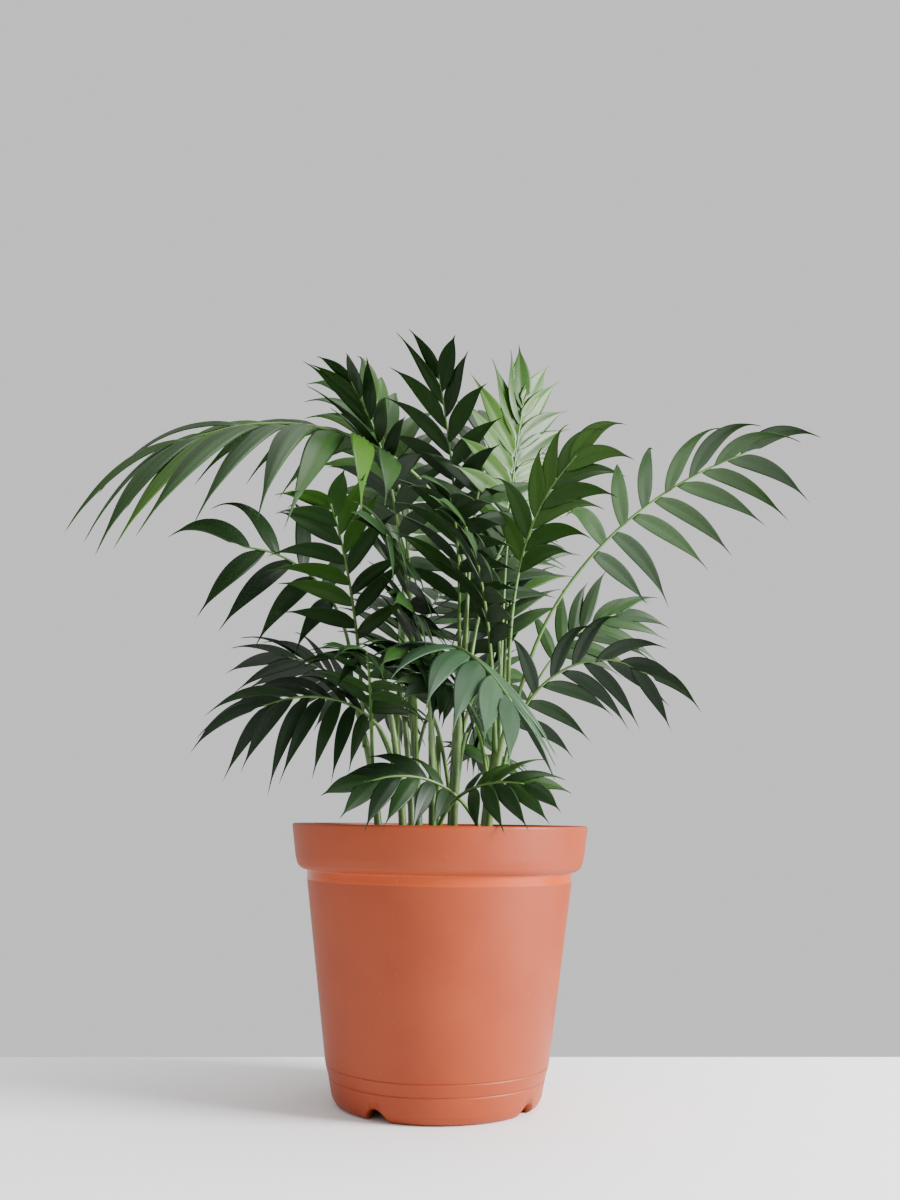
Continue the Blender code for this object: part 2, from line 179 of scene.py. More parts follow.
# Floor, light and camera clipping in metres; light in watts
STAGE_WIDER, STAGE_FLARE, STAGE_DEEP = 1.5, 1.0, 2.6
KEY_PLACE, KEY_TARGET, KEY_SIZE, KEY_POWER = (1.35, -0.45, 0.65), (0, 0, 0.2), 0.6, 75
TOP_PLACE, TOP_TARGET, TOP_SIZE, TOP_POWER = (0.15, -0.1, 1.5), (0, 0, 0.3), 0.9, 12
CLIP_NEAR = 0.01

# Linear colours of the stage, the pot, the soil and the stalks
WALL, FLOOR = (0.80, 0.80, 0.80), (0.97, 0.97, 0.97)
POT_CLEAN, POT_SCUFFED = (0.27, 0.036, 0.006), (0.31, 0.050, 0.010)
BAND_CLEAN, BAND_SCUFFED = (0.40, 0.050, 0.003), (0.44, 0.062, 0.004)
SOIL_PLAIN, SOIL_DARK = (0.03, 0.02, 0.013), (0.010, 0.007, 0.005)
SOIL_BROWN, SOIL_LIGHT = (0.045, 0.028, 0.017), (0.14, 0.09, 0.055)
CANE_LOW, CANE_HIGH = (0.055, 0.115, 0.022), (0.12, 0.20, 0.05)
RIB_LOW, RIB_HIGH = (0.05, 0.12, 0.02), (0.10, 0.19, 0.035)
LEAF_SPECULAR, PLASTIC_SPECULAR = 0.30, 0.32

# Linear colour and roughness of each tone of leaf: the leaf's own green with light and shade painted
# in; the brightest tones are painted light and glow, the darkest painted shade, the pale ones a
# painted sky reflection
TONES = {
    "bright": ((0.036, 0.098, 0.008), 0.38),
    "fresh": ((0.021, 0.064, 0.006), 0.38),
    "middle": ((0.014, 0.045, 0.006), 0.40),
    "deep": ((0.010, 0.032, 0.006), 0.42),
    "dark": ((0.006, 0.019, 0.005), 0.44),
    # pale tones: painted sky reflection on glossy leaflets
    "pale": ((0.030, 0.070, 0.032), 0.38),
    "pale_deep": ((0.018, 0.046, 0.020), 0.40),
}
# Tones dealt out among the leaflets of each seen frond, by chance, from a set of painted light or
# painted shade that matches how lit the frond is
FROND_LIGHT_AND_SHADE = {
    "left_arching": ("fresh", "middle", "middle", "bright"),
    "right_arching": ("middle", "deep", "middle"),
    "left_middle": ("deep", "dark"),
    "front_pale": ("pale", "pale", "pale_deep"),
    "top_bright": ("bright", "bright", "fresh"),
    "top_right": ("bright", "fresh"),
    "top_left": ("fresh", "middle"),
    "low_left": ("dark", "deep"),
    "low_left_back": ("dark",),
    "low_front_left": ("dark", "deep"),
    "low_front_right": ("fresh", "middle", "deep"),
    "low_right": ("dark", "deep"),
    "middle_right": ("middle", "deep"),
}
# The same for a filling frond, from the heart of the crown outwards and upwards: painted shade deep
# in the crown, lighter tones further out and up
FILL_LIGHT_AND_SHADE = (("dark", "deep"), ("deep", "middle"), ("middle", "deep", "fresh"))
# Height, depth and steps of that painted shade in the crown
SHADE_HEIGHT, SHADE_TALL, SHADE_STEPS = 200, 260, 1.6


def unit(vector):
    return vector / np.linalg.norm(vector)


def compass(heading, slope):
    a, e = math.radians(heading), math.radians(slope)
    return np.array([math.cos(a) * math.cos(e), math.sin(a) * math.cos(e), math.sin(e)])


def spun(vector, axis, degrees):
    a = math.radians(degrees)
    return (vector * math.cos(a) + np.cross(axis, vector) * math.sin(a)
            + axis * np.dot(axis, vector) * (1 - math.cos(a)))


def along(points, length):
    """Point and direction at a length along a line of points."""
    steps = np.linalg.norm(np.diff(points, axis=0), axis=1)
    length = min(max(length, 0.0), steps.sum() - 1e-6)
    for index, step in enumerate(steps):
        if length <= step or index == len(steps) - 1:
            way = (points[index + 1] - points[index]) / step
            return points[index] + way * length, way
        length -= step


def cane_line(index):
    """Axis points of a cane, foot to tip."""
    share = math.sqrt((index + 0.3) / (CANES - 0.7))
    heading = GOLDEN * index + CANE_HEADING
    lean = CANE_LEAN[0] + (CANE_LEAN[1] - CANE_LEAN[0]) * share
    low = share * (0.6 + 0.4 * math.sin(index * 2.1) ** 2)
    tall = CANE_TALL + (CANE_SHORT - CANE_TALL) * low
    points = [compass(heading, 0) * CANE_REACH * share + np.array([0, 0, SOIL_TOP + CLEAR])]
    for step in range(CANE_STEPS):
        slope = 90 - lean * (0.5 + 0.33 * step)
        points.append(points[-1] + compass(heading, slope) * tall / CANE_STEPS)
    return np.array(points)


def rib_line(start, heading, rise, end, arch, turn, reach):
    """Axis points of a frond's stalk and rib, arching from rise to end."""
    points = [start]
    for step in range(RIB_STEPS):
        share = (step + 0.5) / RIB_STEPS
        bent = max(0.0, (share - RIB_STRAIGHT) / (1 - RIB_STRAIGHT))
        slope = rise + (end - rise) * bent ** arch
        points.append(points[-1] + compass(heading + turn * share, slope) * reach / RIB_STEPS)
    return np.array(points)


def frond_start(cane, height, heading):
    """Centre of a stalk's foot, clear of its cane."""
    if height is None:
        _, way = along(cane, 1e6)
        return cane[-1] + way * (CLEAR + 0.05)
    point, _ = along(cane, height)
    return point + compass(heading, 0) * (CANE_FOOT + CLEAR + RIB_FOOT)


def blade_line(base, rib_way, side, angle, lift, droop, roll, length):
    """Axis points, directions and upward normals of a leaflet, root to tip."""
    across = unit(np.cross(rib_way, (0, 0, 1)))
    above = np.cross(across, rib_way)
    across, above = spun(across, rib_way, roll), spun(above, rib_way, roll)
    lift = math.radians(lift)
    out = side * across * math.cos(lift) + above * math.sin(lift)
    normal = above * math.cos(lift) - side * across * math.sin(lift)
    angle = math.radians(angle)
    first = rib_way * math.cos(angle) + out * math.sin(angle)
    sag = math.tan(math.radians(min(droop, STEEPEST)))
    points, ways, normals = [base], [first], [normal]
    for step in range(BLADE_STEPS):
        share = (step + 0.5) / BLADE_STEPS
        way = unit(first + np.array([0, 0, -sag * share ** 1.3]) + rib_way * 0.25 * share)
        normal = unit(normal - way * np.dot(normal, way))
        points.append(points[-1] + way * length / BLADE_STEPS)
        ways.append(way)
        normals.append(normal)
    return np.array(points), np.array(ways), np.array(normals)


def blade_width(share):
    """Half width of a leaflet along its length, as a part of its full width."""
    swell = 0.0
    if share < BLADE_SWELL:
        swell = math.sin(math.pi * min(share / BLADE_SWELL, 1.0) ** 0.85)
    return 0.5 * (0.45 * (1 - share) + 0.62 * max(swell, 0.0) + 0.25 * share * (1 - share))


def blade_solid(line, rib_way, side, wide, thick, rings, grow=0.0):
    """Closed thin blade of three-sided rings with a raised middle and a pointed tip."""
    points, ways, normals = line
    verts, faces = [], []
    for index in rings:
        share = index / BLADE_STEPS
        normal = normals[index]
        across = side * rib_way if index == 0 else np.cross(normal, ways[index])
        half = wide * blade_width(share) + grow
        depth = thick * (0.5 if index == 0 else 1.0)
        low = points[index] - normal * grow
        verts += [low - across * half, low + across * half, points[index] + normal * (depth + grow)]
    verts.append(points[-1] + ways[-1] * grow)
    for ring in range(len(rings) - 1):
        for corner in range(3):
            a, b = ring * 3 + corner, ring * 3 + (corner + 1) % 3
            faces += [(a, b, b + 3), (a, b + 3, a + 3)]
    last = len(verts) - 1
    faces.append((2, 1, 0))
    for corner in range(3):
        faces.append((last - 3 + corner, last - 3 + (corner + 1) % 3, last))
    return verts, faces


def tube(points, radii, sides, level=False):
    """Closed tapering tube of flat facets; a level foot is cut flat across."""
    verts, faces = [], []
    count = len(points)
    right = None
    for index in range(count):
        way = unit(points[min(index + 1, count - 1)] - points[max(index - 1, 0)])
        if level and index == 0:
            way = np.array([0, 0, 1.0])
        if right is None:
            guide = np.array([0, 0, 1.0]) if abs(way[2]) < 0.9 else np.array([1.0, 0, 0])
            if abs(way[2]) >= 0.9 and not level:
                guide = unit(np.array([-way[0], -way[1], 1e-3]))
            right = unit(np.cross(way, guide))
        right = unit(right - way * np.dot(right, way))
        top = np.cross(right, way)
        for side in range(sides):
            a = 2 * math.pi * side / sides
            verts.append(points[index] + radii[index] * (top * math.cos(a) - right * math.sin(a)))
    for index in range(count - 1):
        for side in range(sides):
            a, b = index * sides + side, index * sides + (side + 1) % sides
            faces += [(a, a + sides, b + sides), (a, b + sides, b)]
    faces.append(tuple(range(sides)))
    faces.append(tuple(reversed(range((count - 1) * sides, count * sides))))
    return verts, faces


class Space:
    """What has been placed so far, asked whether a new piece stays clear of it."""

    def __init__(self):
        self.boxes = np.empty((0, 6))
        self.trees = []
        self.owners = []

    def add(self, owner, verts, faces):
        verts = np.array(verts)
        box = np.concatenate([verts.min(0), verts.max(0)])
        self.boxes = np.vstack([self.boxes, box])
        self.trees.append(BVHTree.FromPolygons([tuple(v) for v in verts], faces))
        self.owners.append(owner)

    def is_clear(self, owner, verts, faces):
        verts = np.array(verts)
        low, high = verts.min(0), verts.max(0)
        near = np.all((self.boxes[:, :3] <= high) & (self.boxes[:, 3:] >= low), axis=1)
        tree = None
        for index in np.nonzero(near)[0]:
            if self.owners[index] == owner:
                continue
            if tree is None:
                tree = BVHTree.FromPolygons([tuple(v) for v in verts], faces)
            if tree.overlap(self.trees[index]):
                return False
        return True


def rib_radii():
    return [RIB_FOOT + (RIB_TIP - RIB_FOOT) * step / RIB_STEPS for step in range(RIB_STEPS + 1)]


def rib_solid(line, grow=0.0):
    return tube(line, [radius + grow for radius in rib_radii()], RIB_FACETS)


def leaflets(name, row, line, space):
    """Leaflets of one frond: first those clear of everything placed, then the crowded."""
    total = np.linalg.norm(np.diff(line, axis=0), axis=1).sum()
    rings = RINGS_SEEN if name in SEEN else RINGS_FILL
    found, crowded = [], []
    for pair in range(row["pairs"]):
        for side in (1, -1):
            share = (pair + 0.25 * (side + 1)) / (row["pairs"] - 0.5)
            at = total * (row["bare"] + (RIB_FULL - row["bare"]) * share)
            base, way = along(line, at)
            size = 0.66 + 0.34 * math.sin(math.pi * (0.12 + 0.76 * share))
            for angle_more, lift_more, scale in TRIES:
                length = row["long"] * size * scale
                angle = row["spread"] + (row["close"] - row["spread"]) * share + angle_more
                blade = blade_line(base, way, side, angle, row["lift"] + lift_more,
                                   row["droop"], row["roll"], length)
                wide = row["wide"] * (0.8 + 0.2 * scale)
                thick = max(THICK * length, THICK_LEAST)
                guard = blade_solid(blade, way, side, wide, thick, rings, BLADE_GUARD)
                inside = name in SEEN or in_crown(blade[0][-1], CROWN_EDGE)
                if inside and space.is_clear(name, *guard):
                    space.add(name, *blade_solid(blade, way, side, wide, thick, rings))
                    found.append((blade, way, side, wide))
                    break
            else:
                crowded += rough_leaflet(name, row, base, way, side, size, share)
    return found + crowded


def rough_leaflet(name, row, base, way, side, size, share):
    """A leaflet where the solids leave one out: in the looks, leaflets may touch."""
    angle = row["spread"] + (row["close"] - row["spread"]) * share
    length = row["long"] * size * CROWDED
    blade = blade_line(base, way, side, angle, row["lift"],
                       row["droop"] + CROWDED_DROOP, row["roll"], length)
    if name in SEEN or in_crown(blade[0][-1], CROWN_EDGE):
        return [(blade, way, side, row["wide"] * CROWDED)]
    return []


def in_crown(point, grow=0.0):
    """Whether a point lies in the rounded space that the filling fronds keep to."""
    side = math.hypot(point[0], point[1]) / (CROWN_WIDE + grow)
    return side ** 2 + ((point[2] - CROWN_MIDDLE) / (CROWN_TALL + grow)) ** 2 <= 1.0


def fill_rows(seed):
    """Rows of the fronds that fill the crown all round, cut to the crown's space."""
    rng = random.Random(seed)
    rows = []
    for index in range(FILL):
        cane, tier = index % CANES, index // CANES
        line = cane_line(cane)
        top = np.linalg.norm(np.diff(line, axis=0), axis=1).sum()
        heading = GOLDEN * index * 1.31 + 75 + rng.uniform(-20, 20)
        rise, end, reach, height, size = (
            (rng.uniform(78, 86), rng.uniform(30, 70), 170, None, 1.0),
            (rng.uniform(66, 80), rng.uniform(-10, 30), 150, top * rng.uniform(0.55, 0.8), 0.92),
            (rng.uniform(55, 72), rng.uniform(-35, 0), 120, top * rng.uniform(0.2, 0.5), 0.8),
        )[tier]
        turn, roll = rng.uniform(-18, 18), rng.choice((-55, -25, 25, 55))
        start = frond_start(line, height, heading)
        while reach > 60 and not in_crown(rib_line(start, heading, rise, end, 1.1, turn, reach)[-1]):
            reach -= 5
        rows.append((cane, height, heading, rise, end, 1.1, turn, reach, 0.42, 7,
                     56 * size, 11 * size, 60, 22, 2, 34, roll))
    return rows


def plan_plant(solids):
    """Rib and leaflets of each frond, in the order in which they claim their space."""
    space = Space()
    for verts, faces in solids:
        space.add("pot", verts, faces)
    canes = [cane_line(index) for index in range(CANES)]
    for index, line in enumerate(canes):
        radii = [CANE_FOOT + (CANE_TIP - CANE_FOOT) * step / CANE_STEPS
                 for step in range(CANE_STEPS + 1)]
        space.add(f"cane_{index + 1:02d}", *tube(line, radii, CANE_FACETS, level=True))
    rows = {name: dict(zip(FIELDS, row)) for name, row in SEEN.items()}
    ribs = {name: place_rib(name, row, canes, space) for name, row in rows.items()}
    fronds = {}
    for name, line in ribs.items():
        if line is not None:
            fronds[name] = (line, leaflets(name, rows[name], line, space))
    for index, values in enumerate(fill_rows(SEED)):
        name, row = f"fill_{index + 1:02d}", dict(zip(FIELDS, values))
        line = place_rib(name, row, canes, space)
        if line is not None:
            fronds[name] = (line, leaflets(name, row, line, space))
    return fronds


def place_rib(name, row, canes, space):
    """The frond's rib, turned step by step until it is clear, or nothing."""
    for more in RIB_TURNS:
        for rise_more in RIB_DROPS:
            start = frond_start(canes[row["cane"]], row["height"], row["heading"] + more)
            line = rib_line(start, row["heading"] + more, row["rise"] + rise_more, row["end"],
                            row["arch"], row["turn"], row["reach"])
            if space.is_clear(name, *rib_solid(line, RIB_GUARD)):
                row["heading"] += more
                row["rise"] += rise_more
                space.add(name, *rib_solid(line))
                return line
    return None


def lathe(outline, sides):
    """Closed solid turned about Z from an outline that starts and ends on the axis."""
    verts, faces, rings = [], [], []
    for radius, height in outline:
        if radius == 0.0:
            rings.append([len(verts)])
            verts.append((0.0, 0.0, height))
            continue
        rings.append(list(range(len(verts), len(verts) + sides)))
        for side in range(sides):
            a = 2 * math.pi * side / sides
            verts.append((radius * math.cos(a), radius * math.sin(a), height))
    for low, high in zip(rings, rings[1:]):
        for side in range(sides):
            after = (side + 1) % sides
            if len(low) == 1:
                faces.append((low[0], high[after], high[side]))
            elif len(high) == 1:
                faces.append((low[side], low[after], high[0]))
            else:
                faces.append((low[side], low[after], high[after], high[side]))
    return verts, faces


def soil_outline():
    """The soil's outline, clear of the pot's inside."""
    wall = [(radius - CLEAR, height + CLEAR * 0.3) for radius, height in reversed(POT_INNER[2:-1])]
    wall[0] = (POT_INNER[-2][0] - CLEAR, POT_INNER[-1][1] + CLEAR)
    top = POT_INNER[1]
    rise = (SOIL_TOP - top[1]) / (POT_INNER[0][1] - top[1])
    edge = top[0] + (POT_INNER[0][0] - top[0]) * rise
    wall += [(top[0] - CLEAR, top[1] + CLEAR * 0.3), (edge - CLEAR, SOIL_TOP)]
    return [(0.0, POT_INNER[-1][1] + CLEAR)] + wall + [(0.0, SOIL_TOP)]


def smooth_line(points, count):
    """Points of a smooth curve through the given points."""
    points = np.array(points)
    ends = np.vstack([2 * points[0] - points[1], points, 2 * points[-1] - points[-2]])
    out = []
    for step in range(count + 1):
        place = min(step / count * (len(points) - 1), len(points) - 1 - 1e-9)
        index, t = int(place), place - int(place)
        a, b, c, d = ends[index:index + 4]
        out.append(0.5 * (2 * b + (c - a) * t + (2 * a - 5 * b + 4 * c - d) * t * t
                          + (3 * b - a - 3 * c + d) * t ** 3))
    return np.array(out)


def fine_blade(leaflet, sag, sway, twist):
    """Closed pleated leaflet with a raised midrib, bent a little by its own weight."""
    blade, way, side, wide = leaflet
    points = smooth_line(blade[0], BLADE_ROWS)
    normals = smooth_line(blade[2], BLADE_ROWS)
    length = np.linalg.norm(np.diff(points, axis=0), axis=1).sum()
    beside = unit(np.cross(blade[2][0], blade[1][0]))
    bend = np.array([0, 0, -sag]) + beside * sway
    points = points + bend * length * np.linspace(0, 1, BLADE_ROWS + 1)[:, None] ** 2
    ways = np.gradient(points, axis=0)
    columns = np.linspace(-1, 1, BLADE_COLUMNS + 1)
    loop = 2 * len(columns)
    verts, faces = [], []
    for row in range(BLADE_ROWS):
        place = row / BLADE_ROWS
        out = unit(ways[row])
        normal = unit(normals[row] - out * np.dot(normals[row], out))
        normal = spun(normal, out, twist * place)
        across = unit(np.cross(normal, out))
        mix = min(place / CLASP, 1.0)
        across = unit(side * way * (1 - mix) + across * mix)
        half = wide * blade_width(place)
        rise = min(place / UNFOLD, 1.0) * (1 - place ** 3)
        height = (FOLD * (1 - np.abs(columns)) ** 1.2
                  + PLEAT * np.cos(columns * math.pi * PLEATS)) * wide * rise
        sheet = LEAF_SHEET * (1 - EDGE_THINNING * np.abs(columns) ** 3)
        for column, lift in zip(columns, height):
            verts.append(points[row] + across * half * column + normal * lift)
        for column, lift, deep in zip(columns[::-1], height[::-1], sheet[::-1]):
            verts.append(points[row] + across * half * column + normal * (lift - deep))
    for row in range(BLADE_ROWS - 1):
        for corner in range(loop):
            a, b = row * loop + corner, row * loop + (corner + 1) % loop
            faces.append((b, a, a + loop, b + loop))
    verts.append(points[-1])
    last = (BLADE_ROWS - 1) * loop
    faces.append(tuple(range(loop)))
    for corner in range(loop):
        faces.append((last + (corner + 1) % loop, last + corner, len(verts) - 1))
    return verts, faces


def fine_rib(line):
    """Round stalk and rib, a little wider where it clasps the cane."""
    radii = []
    for step in range(RIB_ROWS + 1):
        share = step / RIB_ROWS
        radius = RIB_FOOT + (RIB_TIP * RIB_THIN - RIB_FOOT) * share
        radii.append(radius * (1 + RIB_CLASP * math.exp(-share * RIB_CLASP_SHORT)))
    return tube(smooth_line(line, RIB_ROWS), radii, RIB_SIDES)


def fine_cane(line):
    """Slim green cane with raised leaf scars at its joints."""
    total = np.linalg.norm(np.diff(line, axis=0), axis=1).sum()
    curve = smooth_line(line, CANE_ROWS)
    points, radii = [], []
    count = int(total / CANE_ROW)
    for step in range(count + 1):
        at = total * step / count
        place, _ = along(curve, at)
        off = (at % CANE_JOINT) / CANE_JOINT
        scar = SCAR_RISE * math.exp(-((off - 0.5) * SCAR_SHARP) ** 2)
        points.append(place)
        radii.append(CANE_FOOT + (CANE_TIP - CANE_FOOT) * step / count + scar - CANE_INSET)
    return tube(np.array(points), radii, CANE_SIDES, level=True)


def rounded(outline, radius):
    """The outline with each corner replaced by a short curve."""
    out = [outline[0]]
    for before, here, after in zip(outline, outline[1:], outline[2:]):
        before, here, after = np.array(before), np.array(here), np.array(after)
        edges = np.linalg.norm(here - before), np.linalg.norm(after - here)
        near = min(radius, 0.4 * edges[0], 0.4 * edges[1])
        start = here + unit(before - here) * near
        stop = here + unit(after - here) * near
        for t in (0.0, 0.25, 0.5, 0.75, 1.0):
            out.append(tuple((1 - t) ** 2 * start + 2 * t * (1 - t) * here + t * t * stop))
    return out + [outline[-1]]


def joined(shapes):
    """Corners and faces of several shapes as one."""
    verts, faces = [], []
    for more, shape in shapes:
        faces += [tuple(index + len(verts) for index in face) for face in shape]
        verts += list(more)
    return verts, faces


def mesh_piece(name, verts, faces, materials, tones=None):
    mesh = bpy.data.meshes.new(name)
    mesh.from_pydata([tuple(float(c) * MM for c in v) for v in verts], [], faces)
    for made in materials:
        mesh.materials.append(made)
    if tones is not None:
        mesh.polygons.foreach_set("material_index", tones)
    mesh.polygons.foreach_set("use_smooth", [True] * len(mesh.polygons))
    mesh.update()
    piece = bpy.data.objects.new(name, mesh)
    bpy.context.scene.collection.objects.link(piece)
    return piece


def new_material(name, colour, rough):
    made = bpy.data.materials.new(name)
    made.use_nodes = True
    shader = made.node_tree.nodes["Principled BSDF"]
    shader.inputs["Base Color"].default_value = (*colour, 1.0)
    shader.inputs["Roughness"].default_value = rough
    return made, made.node_tree, shader


# One leaf material per tone: copies of the leaf's green with painted light, painted shade or a
# painted sky reflection
def leaf_materials():
    found = {}
    for tone, (colour, rough) in TONES.items():
        made, _, shader = new_material("leaf_" + tone, colour, rough)
        shader.inputs["Specular IOR Level"].default_value = LEAF_SPECULAR
        found[tone] = made
    return found


def noise(tree, scale, detail):
    coord = tree.nodes.new("ShaderNodeTexCoord")
    texture = tree.nodes.new("ShaderNodeTexNoise")
    texture.inputs["Scale"].default_value = scale
    texture.inputs["Detail"].default_value = detail
    tree.links.new(coord.outputs["Object"], texture.inputs["Vector"])
    return texture


def ramp(tree, source, stops):
    """Colours by value; stops are value and colour, lowest first."""
    made = tree.nodes.new("ShaderNodeValToRGB")
    made.color_ramp.elements[0].position, first = stops[0]
    made.color_ramp.elements[0].color = (*first, 1.0)
    made.color_ramp.elements[1].position, last = stops[-1]
    made.color_ramp.elements[1].color = (*last, 1.0)
    for place, colour in stops[1:-1]:
        made.color_ramp.elements.new(place).color = (*colour, 1.0)
    tree.links.new(source, made.inputs["Fac"])
    return made


def bump(tree, shader, source, strength, distance):
    made = tree.nodes.new("ShaderNodeBump")
    made.inputs["Strength"].default_value = strength
    made.inputs["Distance"].default_value = distance
    tree.links.new(source, made.inputs["Height"])
    tree.links.new(made.outputs["Normal"], shader.inputs["Normal"])


def plastic(name, base, scuffed, rough):
    """Moulded plastic with faint clouding, speckles and a fine grain."""
    made, tree, shader = new_material(name, base, rough)
    shader.inputs["Specular IOR Level"].default_value = PLASTIC_SPECULAR
    cloud = noise(tree, scale=28.0, detail=6.0)
    colour = ramp(tree, cloud.outputs["Fac"], [(0.3, base), (0.75, scuffed)])
    speck = noise(tree, scale=520.0, detail=2.0)
    spots = ramp(tree, speck.outputs["Fac"], [(0.72, (0, 0, 0)), (0.80, (0.5, 0.5, 0.5))])
    speckle = [min(part * 1.5 + 0.05, 1) for part in scuffed]
    mixed = tree.nodes.new("ShaderNodeMixRGB")
    mixed.inputs["Color2"].default_value = (*speckle, 1.0)
    tree.links.new(spots.outputs["Color"], mixed.inputs["Fac"])
    tree.links.new(colour.outputs["Color"], mixed.inputs["Color1"])
    tree.links.new(mixed.outputs["Color"], shader.inputs["Base Color"])
    grain = noise(tree, scale=1400.0, detail=3.0)
    bump(tree, shader, grain.outputs["Fac"], strength=0.12, distance=0.0002)
    return made


def soil_material():
    """Dark potting mix with paler crumbs."""
    made, tree, shader = new_material("soil_mix", SOIL_PLAIN, rough=0.95)
    crumbs = noise(tree, scale=420.0, detail=8.0)
    stops = [(0.3, SOIL_DARK), (0.55, SOIL_BROWN), (0.8, SOIL_LIGHT)]
    colour = ramp(tree, crumbs.outputs["Fac"], stops)
    tree.links.new(colour.outputs["Color"], shader.inputs["Base Color"])
    bump(tree, shader, crumbs.outputs["Fac"], strength=0.9, distance=0.002)
    return made


def stalk_material(name, low, high):
    """Green skin of canes and ribs, clouded from one green to the other."""
    made, tree, shader = new_material(name, low, rough=0.42)
    cloud = noise(tree, scale=90.0, detail=5.0)
    colour = ramp(tree, cloud.outputs["Fac"], [(0.35, low), (0.7, high)])
    tree.links.new(colour.outputs["Color"], shader.inputs["Base Color"])
    bump(tree, shader, cloud.outputs["Fac"], strength=0.2, distance=0.0004)
    return made


def fine_pot_outline():
    """The pot's outline with a fine seam at each of two heights and its corners rounded."""
    outer = []
    for radius, height in POT_OUTER:
        if height in SEAM_HEIGHTS:
            outer.append((radius - SEAM_LIP, height - SEAM_HALF))
            outer.append((radius - SEAM_DEEP, height))
            outer.append((radius + SEAM_LIP, height + SEAM_HALF))
        else:
            outer.append((radius, height))
    return rounded(list(POT_UNDER) + outer + list(POT_INNER), POT_ROUNDING)


def is_band(verts, face):
    """Whether a face lies on the glossy band under the collar."""
    heights = [verts[index][2] for index in face]
    radii = [math.hypot(verts[index][0], verts[index][1]) for index in face]
    return min(heights) > BAND_LOW and max(heights) < BAND_HIGH and min(radii) > BAND_RADIUS


def cut_notches(pot, body):
    """Cuts the foot notches out of the pot, which keeps no modifier."""
    cutters = bpy.data.collections.new("notch_cutters")
    bpy.context.scene.collection.children.link(cutters)
    for number, heading in enumerate(NOTCH_HEADINGS):
        ends = [compass(heading, 0) * reach for reach in NOTCH_REACH]
        verts, faces = tube(ends, [NOTCH_RADIUS] * 2, NOTCH_SIDES)
        cutter = mesh_piece(f"notch_cutter_{number}", verts, faces, (body,))
        bpy.context.scene.collection.objects.unlink(cutter)
        cutters.objects.link(cutter)
    step = pot.modifiers.new("notches", "BOOLEAN")
    step.operand_type = "COLLECTION"
    step.collection = cutters
    step.operation = "DIFFERENCE"
    step.solver = "EXACT"
    bpy.context.view_layer.update()
    graph = bpy.context.evaluated_depsgraph_get()
    result = bpy.data.meshes.new_from_object(pot.evaluated_get(graph))
    pot.modifiers.clear()
    pot.data = result
    for cutter in list(cutters.objects):
        bpy.data.objects.remove(cutter, do_unlink=True)
    bpy.data.collections.remove(cutters)


def make_pot():
    """The pot with rounded edges, two fine seam lines and its four foot notches."""
    verts, faces = lathe(fine_pot_outline(), POT_SIDES)
    body = plastic("pot_plastic", POT_CLEAN, POT_SCUFFED, rough=0.46)
    band = plastic("pot_band", BAND_CLEAN, BAND_SCUFFED, rough=0.22)
    slots = [1 if is_band(verts, face) else 0 for face in faces]
    pot = mesh_piece("fine_pot", verts, faces, (body, band), slots)
    cut_notches(pot, body)
    return pot


def make_soil():
    """Crumbly soil surface over a plain closed body."""
    rng = random.Random(SOIL_SEED)
    outline = soil_outline()
    edge = outline[-2][0]
    verts, faces = lathe(outline[:-1] + [(0.0, SOIL_TOP - SOIL_SUNK)], SOIL_RADIALS)
    body_count = len(verts)
    for ring in range(SOIL_RINGS + 1):
        radius = (edge - SOIL_INSET) * ring / SOIL_RINGS
        loose = 0 < ring < SOIL_RINGS
        for radial in range(SOIL_RADIALS):
            a = 2 * math.pi * radial / SOIL_RADIALS + CRUMB_TURN * rng.uniform(-1, 1)
            r = radius + rng.uniform(-CRUMB_SHIFT, CRUMB_SHIFT) * loose
            wave = math.sin(r * SOIL_RIPPLE + a * 3) * math.cos(a * 5)
            lump = rng.uniform(CRUMB_DEEP, CRUMB_HIGH) + SOIL_WAVE * wave
            height = min(SOIL_TOP - SOIL_LEVEL + lump * loose, SOIL_TOP - SOIL_MOST)
            verts.append((r * math.cos(a), r * math.sin(a), height))
    for ring in range(SOIL_RINGS):
        start = body_count + ring * SOIL_RADIALS
        for radial in range(SOIL_RADIALS):
            a, b = start + radial, start + (radial + 1) % SOIL_RADIALS
            faces.append((a, a + SOIL_RADIALS, b + SOIL_RADIALS, b))
    return mesh_piece("fine_soil", verts, faces, (soil_material(),))


def make_canes(lines):
    verts, faces = joined([fine_cane(line) for line in lines])
    return mesh_piece("fine_canes", verts, faces, (stalk_material("cane_skin", CANE_LOW, CANE_HIGH),))


def make_ribs(lines):
    verts, faces = joined([fine_rib(line) for line in lines])
    return mesh_piece("fine_ribs", verts, faces, (stalk_material("rib_skin", RIB_LOW, RIB_HIGH),))


def painted_light_and_shade(name, found):
    """Painted light and shade of a frond: its own set, or by the place of a filling frond's last
    leaflet, darker towards the crown's heart as painted shade.
    """
    if name in FROND_LIGHT_AND_SHADE:
        return FROND_LIGHT_AND_SHADE[name]
    tip = found[-1][0][0][-1] if found else (0, 0, 0)
    outer = math.hypot(tip[0], tip[1]) / CROWN_WIDE + (tip[2] - SHADE_HEIGHT) / SHADE_TALL
    return FILL_LIGHT_AND_SHADE[min(2, max(0, int(outer * SHADE_STEPS)))]


